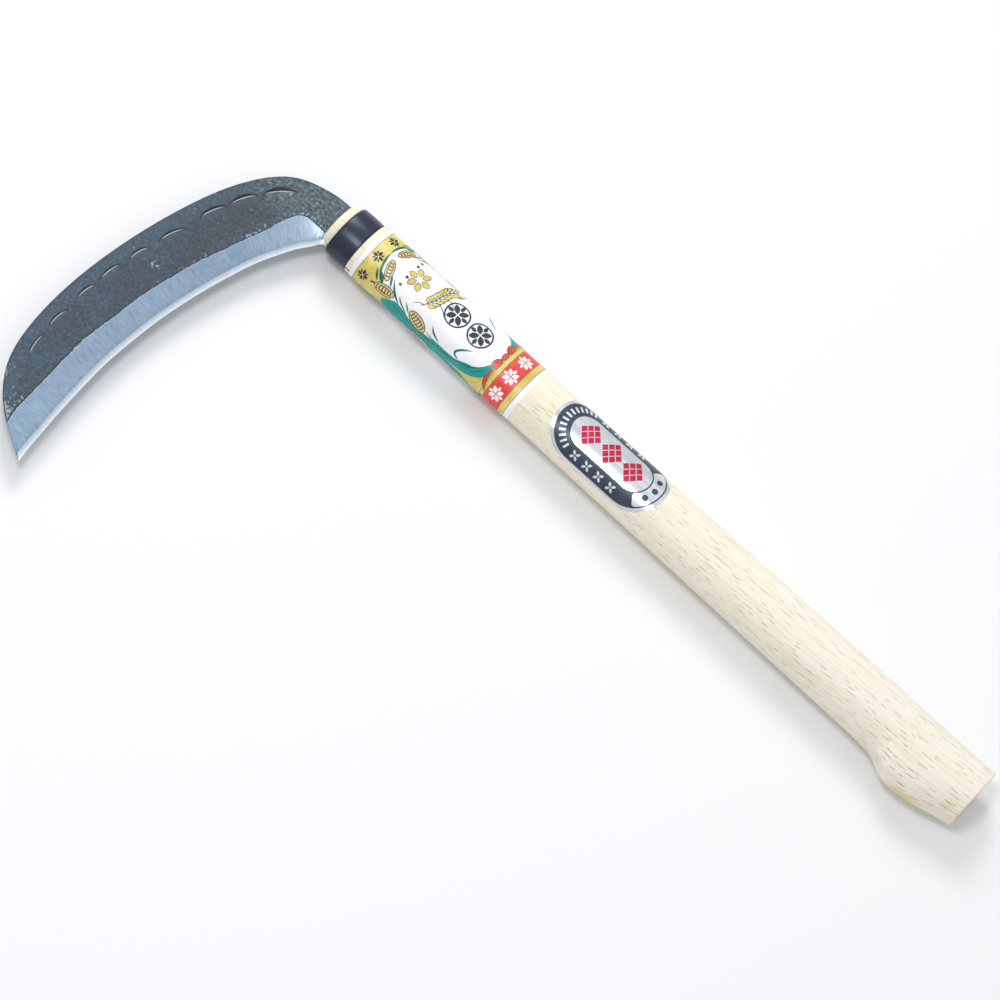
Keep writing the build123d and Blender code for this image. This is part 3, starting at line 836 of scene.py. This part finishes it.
def wound(name, x_from, x_to, bottom, top, material):
    """A band of paper or ink wound round the grip, with its end lapped over its start."""
    start = picture_middle / 15 - full_turn / 4
    share = np.linspace(start, start - full_turn - glue_lap / 15, 190)
    lap = (paper_thick - 0.02) * smooth(0, 0.1, start - full_turn + 0.1 - share)
    places = np.linspace(x_from, x_to, max(3, int(abs(x_to - x_from) / 3)))
    rings = []
    for x in places:
        rings.append(np.concatenate([wrap(share * 0 + x, share, top + lap),
                                     wrap(share * 0 + x, share, bottom + lap)[::-1]]))
    size = len(share) * 2
    faces = ring_faces(len(rings), size)
    for first in (0, (len(rings) - 1) * size):
        faces += [(first + c, first + c + 1, first + size - 2 - c, first + size - 1 - c)
                  for c in range(len(share) - 1)]
    band = mesh_object(name, np.concatenate(rings), faces)
    tidy(band, 30)
    band.data.materials.append(material)
    return band


def smooth_line(points, closed=False, per=7):
    """A smooth line through points, as many points per span as given."""
    points = np.asarray(points, float)
    ends = (points[-1:], points[:2]) if closed else (
        2 * points[:1] - points[1:2], 2 * points[-1:] - points[-2:-1])
    p = np.concatenate([ends[0], points, ends[1]])
    line = []
    for a, b, c, d in zip(p, p[1:], p[2:], p[3:]):
        for t in np.arange(per) / per:
            line.append(0.5 * (2 * b + (c - a) * t + (2 * a - 5 * b + 4 * c - d) * t**2
                               + (3 * b - a - 3 * c + d) * t**3))
    return np.array(line if closed else line + [points[-1]])


def stroke(points, width, pointed=True):
    """The outline of a line drawn with a brush: pointed at both ends, or even and cut square."""
    line = smooth_line(points)
    along = np.gradient(line, axis=0)
    along /= np.linalg.norm(along, axis=1)[:, None]
    t = np.linspace(0, 1, len(line))
    half = width / 2 * (np.sin(np.pi * t) ** 0.75 if pointed else t * 0 + 1)
    side = np.c_[-along[:, 1], along[:, 0]] * np.maximum(half, 0.02)[:, None]
    return np.concatenate([line + side, (line - side)[::-1]])


def oval(centre, radii, turn=0.0, count=30):
    """An oval's outline; turn is in radians."""
    t = np.linspace(0, 2 * np.pi, count, endpoint=False)
    x, v = radii[0] * np.cos(t), radii[1] * np.sin(t)
    return np.c_[centre[0] + x * np.cos(turn) - v * np.sin(turn),
                 centre[1] + x * np.sin(turn) + v * np.cos(turn)]


def petals(centre, number, inner, outer, width, start=0.0):
    """Leaf shapes set like the petals of a flower."""
    shapes = []
    for angle in start + 2 * np.pi * np.arange(number) / number:
        ray = np.array([np.cos(angle), np.sin(angle)])
        shapes.append(stroke([centre + ray * r for r in (inner, (inner + outer) / 2, outer)], width))
    return shapes


def hoop(centre, radius, width, start=0.0, end=2 * np.pi):
    """A ring, or an arc of one, drawn with an even line."""
    angles = np.linspace(start, end, 13)
    points = np.c_[centre[0] + radius * np.cos(angles), centre[1] + radius * np.sin(angles)]
    return stroke(points, width, pointed=False)


def mirrored(shapes):
    """The same shapes again on the other side of the picture's middle line."""
    return shapes + [shape * (1, -1) for shape in shapes]


def printed(name, shapes, bottom, top, material, sides=(0, full_turn / 2)):
    """Thin plates with these outlines, cut into strips and bent round the grip."""
    work = bmesh.new()
    for shape in shapes:
        work.faces.new([work.verts.new((x, v, 0)) for x, v in shape]).normal_update()
    bmesh.ops.triangulate(work, faces=work.faces[:])
    bmesh.ops.remove_doubles(work, verts=work.verts, dist=1e-3)
    reach = max(np.abs(shape[:, 1]).max() for shape in shapes)
    for v in np.arange(-reach, reach, 0.9):
        bmesh.ops.bisect_plane(work, geom=work.verts[:] + work.edges[:] + work.faces[:],
                               plane_co=(0, v, 0), plane_no=(0, 1, 0))
    work.verts.index_update()
    flat = np.array([vert.co[:2] for vert in work.verts])
    lids = [[vert.index for vert in face.verts] for face in work.faces]
    rims = [(edge.link_loops[0].vert.index, edge.link_loops[0].link_loop_next.vert.index)
            for edge in work.edges if len(edge.link_faces) == 1]
    work.free()
    points, faces = [], []
    for side in sides:
        x, share = flat[:, 0], (flat[:, 1] + picture_middle) / half_width(flat[:, 0]) + side
        low, high = sum(map(len, points)), sum(map(len, points)) + len(flat)
        points += [wrap(x, share, bottom), wrap(x, share, top)]
        faces += [[high + i for i in lid] for lid in lids] + [[low + i for i in lid[::-1]] for lid in lids]
        faces += [(low + a, low + b, high + b, high + a) for a, b in rims]
    plates = mesh_object(name, np.concatenate(points), faces)
    tidy(plates, 30)
    plates.data.materials.append(material)
    return plates


def label_print(name, low_colour, high_colour, grain=0.0009):
    """Printed art paper under varnish: one ink, a little uneven, with a soft gloss over it."""
    ink, tree, shader = new_material(name)
    spot = add(tree, "ShaderNodeTexCoord")
    uneven = add(tree, "ShaderNodeTexNoise",
                 {"Vector": spot.outputs["Object"], "Scale": 1 / 0.009, "Detail": 2.0})
    dots = add(tree, "ShaderNodeTexNoise",
               {"Vector": spot.outputs["Object"], "Scale": 1 / grain, "Detail": 2.0, "Roughness": 0.6})
    both = add(tree, "ShaderNodeMath",
               {0: dots.outputs["Fac"], 1: 0.6, 2: uneven.outputs["Fac"]}, operation="MULTIPLY_ADD")
    amount = add(tree, "ShaderNodeMapRange",
                 {"Value": both.outputs["Value"], "From Min": 0.55, "From Max": 1.05})
    colour = add(tree, "ShaderNodeMix",
                 {"Factor": amount.outputs["Result"], "A": srgb(low_colour), "B": srgb(high_colour)},
                 data_type="RGBA")
    tree.links.new(colour.outputs["Result"], shader.inputs["Base Color"])
    bump = add(tree, "ShaderNodeBump",
               {"Height": dots.outputs["Fac"], "Strength": 0.15, "Distance": 0.00003})
    tree.links.new(bump.outputs["Normal"], shader.inputs["Normal"])
    shader.inputs["Roughness"].default_value = 0.34
    return ink


label_paper = label_print("art_paper", "#f1eff3", "#fbfafc")
gold_ink = label_print("gold_ink", "#c9b24a", "#eadd85")
brown_ink = label_print("brown_ink", "#4a3b22", "#6b5832")
straw_ink = label_print("straw_ink", "#d3b874", "#ecdaa8")
red_ink = label_print("red_ink", "#d92a30", "#ec5a40")
white_ink = label_print("white_ink", "#f6f3f4", "#fdfcfc")
teal_ink = label_print("teal_ink", "#048b88", "#0aa39d")
green_ink = label_print("green_ink", "#0b5c46", "#0e7560")
black_ink = label_print("black_ink", "#1a242c", "#2a3742")

paper = wound("paper_label_sheet", label_low[0], label_high[0], 0.0, paper_thick, label_paper)
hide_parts("paper_label")


def ink_top(layer):
    """The height of the top of a layer of ink above the wood."""
    return paper_thick + ink_step * layer


gold_from, red_from, red_to, gold_to = 276.6, 280.2, 289.1, 371.5
wound("label_gold_ground", gold_from, gold_to, 0.05, ink_top(1), gold_ink)
wound("label_red_band", red_from, red_to, 0.06, ink_top(2), red_ink)
for number, x in enumerate((gold_from + 0.1, red_from - 0.15, red_to + 0.2, 291.6, gold_to - 0.1)):
    wound(f"label_rule_{number + 1}", x - 0.11, x + 0.11, 0.07, ink_top(3), brown_ink)

# outlines are pairs: place along the handle, and distance from the picture's middle line
field_half = [(364.1, 0), (363.6, 5.5), (361.4, 10.2), (357.5, 13.6), (350, 16.4), (338, 17.6), (322, 17.8),
              (308, 16.6), (300, 13.6), (295.8, 9.0), (293.8, 3.5)]
field_line = np.array(field_half + [(x, -v) for x, v in field_half[:0:-1]])
printed("label_white_field", [smooth_line(field_line, closed=True)], 0.07, ink_top(2),
                          label_paper)

band_top = [(354.6, 19.6), (352.6, 18.0), (350.2, 16.6), (347.4, 15.5), (343, 16.0), (338.5, 17.3),
            (333, 18.0), (327, 18.1), (321, 17.2), (315, 17.0), (309.5, 16.6), (304.5, 14.6),
            (301, 13.6), (297.8, 11.4),
            (295.9, 8.5), (295.0, 7.2)]
band_foot = [(293.0, 7.4), (292.9, 10), (293.8, 13.8), (297, 16.9), (301, 19.1), (306, 20.3), (314, 20.8),
             (330, 20.9), (345, 20.8), (353.6, 20.6)]
rice_leaves = [np.concatenate([smooth_line(band_top), smooth_line(band_foot)])]
printed("label_rice_leaves", mirrored(rice_leaves), 0.08, ink_top(3), teal_ink)

veins = [
    stroke([(x0, v0), ((x0 + x1) / 2, (v0 + v1) / 2 + 0.5), (x1, v1)], 0.34)
    for x0, v0, x1, v1 in (
        (294.0, 9.0, 301, 17.4), (295.2, 8.6, 304, 17.0), (296.6, 10.6, 308, 18.4),
        (299.5, 13.2, 313, 18.6),
        (304, 15.6, 320, 19.4), (309, 17.2, 326, 18.6), (317, 18.2, 333, 19.6), (324, 19.0, 341, 19.2),
        (334, 18.9, 349, 17.2), (341, 17.4, 352, 18.6), (343, 19.4, 353, 19.7))
]
leaf_lines = [
    ([(364.5, 0), (364.3, 3), (363.3, 7), (361.5, 10.3), (358.6, 13.2)], 1.35),
    ([(361.6, 9.2), (360.0, 11.2), (357.6, 13.4)], 2.1),
    ([(364.3, 9.0), (362.6, 11.6), (360.8, 13.8)], 1.1),
    ([(363.2, 16.6), (361.8, 15.6), (360.3, 15.6)], 1.0),
    ([(356.4, 7.3), (355.4, 9.5), (353.7, 12.2)], 1.1),
    ([(354.9, 7.8), (352, 11.2), (348.6, 14), (345.8, 15.4)], 1.0),
    ([(347.9, 12.1), (345.3, 14.2), (340, 16.8)], 0.7),
    ([(343.6, 12.1), (341.8, 13.8), (339.6, 15.6)], 0.7),
    ([(327, 12.1), (324.6, 14.4), (320, 16.3)], 0.9),
    ([(328.4, 16.3), (324, 17.2), (316, 17.1)], 0.55),
    ([(304.9, 8.2), (309.0, 10.8), (311.5, 13.6), (310.7, 15.3), (308, 15.9)], 1.1),
]
leaf_strokes = [stroke(points, width) for points, width in leaf_lines]
printed("label_leaf_lines", mirrored(veins + leaf_strokes), 0.09, ink_top(4), green_ink)

bales = [((359.3, 6.3), (5.3, 2.3), 1.97), ((355.2, 14.9), (5.7, 2.7), 0.12),
         ((334.1, 15.7), (5.9, 3.0), 2.83)]
bale_edges, bale_bodies, bale_cords = [], [], []
for centre, (long, short), lean in bales:
    bale_edges.append(oval(centre, (long, short), lean))
    bale_bodies.append(oval(centre, (long - 0.45, short - 0.45), lean))
    turn = np.array([[np.cos(lean), np.sin(lean)], [-np.sin(lean), np.cos(lean)]])
    for p in np.arange(-long + 1.7, long - 1.2, 1.55):
        reach = (short - 0.6) * np.sqrt(1 - (p / long) ** 2)
        bale_cords.append(stroke(np.array([(p, -reach), (p + 0.45, 0), (p, reach)]) @ turn + centre, 0.62))
    for q in (-0.35, 0.35):
        line = np.array([(-long + 0.9, q * short * 0.7), (0, q * short * 1.4),
                         (long - 0.9, q * short * 0.7)])
        bale_cords.append(stroke(line @ turn + centre, 0.45))
printed("label_bale_edges", mirrored(bale_edges), 0.10, ink_top(5), brown_ink)
printed("label_bale_straw", mirrored(bale_bodies), 0.11, ink_top(6), straw_ink)
printed("label_bale_cords", mirrored(bale_cords), 0.12, ink_top(7), brown_ink)

# a plain flower and a bent ear of grain on the white field
flower_at = np.array([346.4, 0.1])
printed("label_flower_edge", petals(flower_at, 6, 1.4, 6.2, 3.3), 0.08, ink_top(3),
                          brown_ink)
printed("label_flower", petals(flower_at, 6, 1.8, 5.8, 2.6), 0.09, ink_top(4), gold_ink)
ear_line = smooth_line([(337.6, 8.6), (335.0, 4.5), (333.4, -0.5), (332.4, -5.5), (329.6, -10.5)], per=5)
ear_edges, ear_grains = [stroke(ear_line[::4], 0.5, pointed=False)], []
for i in range(3, len(ear_line) - 1, 2):
    heading = ear_line[i + 1] - ear_line[i]
    heading /= np.linalg.norm(heading)
    for side in (-1, 1):
        out = np.array([-heading[1], heading[0]]) * side
        root = ear_line[i] + out * 0.3
        bend, end = root + out * 1.5 + heading * 1.1, root + out * 2.5 + heading * 3.1
        ear_edges.append(stroke([root, bend, end + (end - bend) * 0.25], 2.0))
        ear_grains.append(stroke([root + out * 0.3, bend, end - heading * 0.2], 1.35))
ear_edges += [stroke(points, 0.42) for points in (
    [(332.2, 2.5), (329.0, 3.6), (325.8, 6.0)], [(331.0, -2.2), (328.0, -2.0), (325.4, -0.4)],
    [(330.2, -6.4), (327.6, -7.6), (325.6, -9.4)], [(335.4, 7.2), (338.6, 8.0), (341.4, 10.2)])]
printed("label_ear_edges", ear_edges, 0.09, ink_top(4), black_ink)
printed("label_ear_grains", ear_grains, 0.10, ink_top(5), gold_ink)

# plain four-leaved ornaments: two large dark ones, small ones round both bands, and dots
ornaments = []
for centre in (np.array([322.3, 0.4]), np.array([308.1, 0.4])):
    ornaments += petals(centre, 4, 0.4, 5.5, 2.9, np.pi / 4)
    ornaments += petals(centre, 4, 2.4, 5.9, 2.0)
    ornaments.append(hoop(centre, 6.1, 0.85))
for v in (-8.2, -4.7, 3.3, 7.8):
    ornaments.append(oval((351.3, v), (0.85, 0.7)))
printed("label_ornaments", ornaments, 0.08, ink_top(3), black_ink)
dark_sprigs, white_sprigs = [], []
for v in (-6.5, 5.2, 16.6):
    dark_sprigs += petals(np.array([367.6, v]), 4, 0.3, 3.0, 1.5) + petals(
        np.array([367.6, v]), 4, 1.2, 2.9, 0.8, np.pi / 4)
for v in (-5.2, 5.4, 16.0):
    white_sprigs += petals(np.array([284.6, v]), 4, 0.4, 3.9, 2.0, np.pi / 4) + petals(
        np.array([284.6, v]), 4, 1.7, 4.1, 1.3)
printed("label_head_sprigs", dark_sprigs, 0.08, ink_top(3), black_ink)
printed("label_red_band_sprigs", white_sprigs, 0.09, ink_top(4), white_ink)

# the red cord that ties the leaves: a knot, a bow on each side and two tails
knot = oval((292.9, 0), (1.35, 2.3))
bow = smooth_line([(293, 2.2), (294.6, 3.2), (295.5, 5.4), (294.9, 7.5), (293.5, 7.3), (291.9, 7.6),
                   (291.5, 5), (291.9, 2.8)], closed=True)
tail = stroke([(292.3, 7.0), (293.0, 11), (292.7, 14.5), (291.2, 17.3), (289.6, 19.4)], 1.9)
middle = [(knot[:, 0].mean(), 0), (bow[:, 0].mean(), bow[:, 1].mean())]
inner_knot = (knot - middle[0]) * 0.80 + middle[0]
inner_bow = (bow - middle[1]) * 0.84 + middle[1]
inner_tail = stroke([(292.35, 7.4), (293.0, 11), (292.7, 14.5), (291.3, 17.1), (289.9, 18.9)], 1.3)
printed("label_cord_edges", [knot] + mirrored([bow, tail]), 0.12, ink_top(7), brown_ink)
printed("label_cord", [inner_knot] + mirrored([inner_bow, inner_tail]), 0.13, ink_top(8),
                          red_ink)
folds = [stroke([(293.1, 2.6), (293.9, 4.2), (293.6, 6.2)], 0.42),
         stroke([(292.6, 3.0), (292.5, 4.6)], 0.36)]
printed("label_cord_folds", mirrored(folds), 0.14, ink_top(9), brown_ink)

# ------------------------------------------------------------------------------ foil sticker
# A self-adhesive sticker of aluminium foil, printed with dark and crimson lacquer and cut out with
# two round ends, stuck on the grip's front face below the label.
foil_thick, lacquer_step = 0.12, 0.014
foil_ends, foil_middle, foil_radius = (240.7, 212.7), -0.1, 18.0
ring_outer, ring_inner = 16.3, 8.7


def half_pill(radius, side, count=26):
    """Half the outline of a shape with two round ends, from its head's tip to its butt's tip."""
    t = np.linspace(0, np.pi / 2, count)
    head = np.c_[foil_ends[0] + radius * np.cos(t), foil_middle + side * radius * np.sin(t)]
    butt = np.c_[foil_ends[1] - radius * np.cos(t), foil_middle + side * radius * np.sin(t)]
    return np.concatenate([head, butt[::-1]])


# Foil: bright aluminium under clear lacquer, faintly brushed along its length.
sticker_foil, tree, shader = new_material("lacquered_foil")
spot = add(tree, "ShaderNodeTexCoord")
brush_place = add(tree, "ShaderNodeMapping",
                  {"Vector": spot.outputs["Object"], "Scale": (1 / 0.03, 1 / 0.0006, 1 / 0.0006)})
brushing = add(tree, "ShaderNodeTexNoise",
               {"Vector": brush_place.outputs["Vector"], "Scale": 1.0, "Detail": 3.0})
foil_tone = add(tree, "ShaderNodeMapRange",
                {"Value": brushing.outputs["Fac"], "From Min": 0.3, "From Max": 0.7})
foil_colour = add(tree, "ShaderNodeMix",
                  {"Factor": foil_tone.outputs["Result"], "A": srgb("#cfd3da"), "B": srgb("#eef0f4")},
                  data_type="RGBA")
tree.links.new(foil_colour.outputs["Result"], shader.inputs["Base Color"])
foil_rough = add(tree, "ShaderNodeMapRange",
                 {"Value": brushing.outputs["Fac"], "To Min": 0.16, "To Max": 0.30})
tree.links.new(foil_rough.outputs["Result"], shader.inputs["Roughness"])
shader.inputs["Metallic"].default_value = 0.6


def lacquer(name, low_colour, high_colour):
    """Coloured lacquer printed on foil: smooth and glossy, a little metal shining through."""
    made = label_print(name, low_colour, high_colour, grain=0.0006)
    made.node_tree.nodes["Principled BSDF"].inputs["Metallic"].default_value = 0.3
    return made


slate_lacquer = lacquer("slate_lacquer", "#343d4b", "#434d5d")
crimson_lacquer = lacquer("crimson_lacquer", "#b3133a", "#cf2149")
silver_lacquer = lacquer("silver_lacquer", "#c9d0d8", "#e9edf1")

front_only = (0,)
foil_outline = np.concatenate([half_pill(foil_radius, 1), half_pill(foil_radius, -1)[-2:0:-1]])
foil = printed("foil_sticker_sheet", [foil_outline], -0.03, foil_thick, sticker_foil, front_only)
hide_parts("foil_sticker")
ring_shape = [np.concatenate([half_pill(ring_outer, side), half_pill(ring_inner, side)[::-1]])
              for side in (1, -1)]
dark_ring = printed("foil_dark_ring", ring_shape, 0.03, foil_thick + lacquer_step, slate_lacquer,
                    front_only)
butt_end = np.array([foil_ends[1], foil_middle])
panel_middle_radius, panel_round = (ring_outer + ring_inner) / 2, 1.6
panel_half = (ring_outer - ring_inner) / 2 - 0.65
panel_reach = np.radians(54) * panel_middle_radius
corner_turn = np.radians(np.arange(0, 360, 10))
box_corner = np.sign(np.c_[np.cos(corner_turn + 0.01), np.sin(corner_turn + 0.01)])
rounded = box_corner * (panel_reach - panel_round, panel_half - panel_round)
rounded += panel_round * np.c_[np.cos(corner_turn), np.sin(corner_turn)]
bent_round = np.concatenate([np.linspace(a, b, 12, endpoint=False)
                             for a, b in zip(rounded, np.roll(rounded, -1, axis=0))])
turned, far = np.pi + bent_round[:, 0] / panel_middle_radius, panel_middle_radius + bent_round[:, 1]
size_panel = butt_end + np.c_[far * np.cos(turned), far * np.sin(turned)]
panel_piece = printed("foil_size_panel", [size_panel], 0.04, foil_thick + 2 * lacquer_step, sticker_foil,
                      front_only)

crimson_shapes, silver_shapes, slate_shapes = [], [], []
for x in (239.6, 226.7, 213.8):
    for i in (-1, 0, 1):
        for j in (-1, 0, 1):
            centre = np.array([x + 2.05 * (i + j), foil_middle + 2.35 * (i - j)])
            crimson_shapes.append(centre + np.array([(1.8, 0), (0, 2.05), (-1.8, 0), (0, -2.05)]))
for angle in np.radians(np.arange(-72, 73, 12)):
    ray = np.array([np.cos(angle), np.sin(angle)])
    centre = np.array([foil_ends[0], foil_middle])
    silver_shapes.append(stroke([centre + ray * 10.9, centre + ray * 12.5, centre + ray * 14.1], 1.1,
                                pointed=False))
for side in (-1, 1):
    for x in (238.4, 231.1, 223.9, 216.5):
        silver_shapes += petals(np.array([x, foil_middle + side * 12.6]), 4, 0.3, 2.7, 1.3, np.pi / 4)
for angle in np.radians((-26, 0, 26)):
    ray = -np.array([np.cos(angle), np.sin(angle)])
    slate_shapes.append(oval(butt_end + ray * panel_middle_radius, (1.5, 1.5)))
lacquer_pieces = [
    printed(name, shapes, 0.05, foil_thick + layer * lacquer_step, material, front_only)
    for layer, (name, shapes, material) in enumerate((
        ("foil_crimson_print", crimson_shapes, crimson_lacquer),
        ("foil_silver_print", silver_shapes, silver_lacquer),
        ("foil_panel_print", slate_shapes, slate_lacquer)), 1)
]

# ------------------------------------------------------------------------------ stage
# Plain pale floor under the tool, soft light from large panels, and the camera.
low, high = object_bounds()
floor_size = 6.0
bpy.ops.mesh.primitive_plane_add(size=floor_size, location=(0.2, 0.1, low.z - 0.0005))
floor = bpy.context.object
floor.name = "floor"
pale_floor, tree, shader = new_material("pale_floor")
shader.inputs["Base Color"].default_value = srgb("#f2f2f2")
shader.inputs["Roughness"].default_value = 0.9
floor.data.materials.append(pale_floor)
floor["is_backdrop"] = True

# a plain studio: bright overhead, dimmer towards the walls
world = bpy.data.worlds.new("studio")
bpy.context.scene.world = world
world.use_nodes = True
tree = world.node_tree
background = tree.nodes["Background"]
heading = add(tree, "ShaderNodeTexCoord")
height = add(tree, "ShaderNodeSeparateXYZ", {0: heading.outputs["Generated"]})
brightness = add(tree, "ShaderNodeMapRange",
                 {"Value": height.outputs["Z"], "From Min": 0.05, "From Max": 0.8, "To Min": 0.58,
                  "To Max": 0.69}, interpolation_type="SMOOTHSTEP")
background.inputs["Color"].default_value = srgb("#f3f6fb")
tree.links.new(brightness.outputs["Result"], background.inputs["Strength"])


def panel(name, place, target, size, power):
    """A square soft light at place, facing target."""
    light = bpy.data.lights.new(name, "AREA")
    light.shape, light.size, light.energy = "SQUARE", size, power
    lamp = bpy.data.objects.new(name, light)
    lamp.location = place
    lamp.rotation_euler = (Vector(target) - Vector(place)).to_track_quat("-Z", "Y").to_euler()
    bpy.context.scene.collection.objects.link(lamp)


panel("key_panel", (1.2, -1.0, 1.35), (0.3, 0.05, 0), 0.8, 15.5)
panel("overhead_panel", (0.52, 0.38, 1.6), (0.3, 0.0, 0), 0.36, 7)

# about 2.2 m from the middle of the tool, above its bevelled face and out on the blade's side
camera_data = bpy.data.cameras.new("camera")
camera_data.lens, camera_data.sensor_width = 177.78, 36.0
camera = bpy.data.objects.new("camera", camera_data)
camera.matrix_world = Matrix((
    (-0.73381, 0.66894, -0.11847, -0.01702),
    (-0.65146, -0.64345, 0.40196, 0.95142),
    (0.19266, 0.37214, 0.90796, 2.04033),
    (0, 0, 0, 1),
))
bpy.context.scene.collection.objects.link(camera)
bpy.context.scene.camera = camera
bpy.context.scene.view_settings.view_transform = "Standard"

low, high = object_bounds()
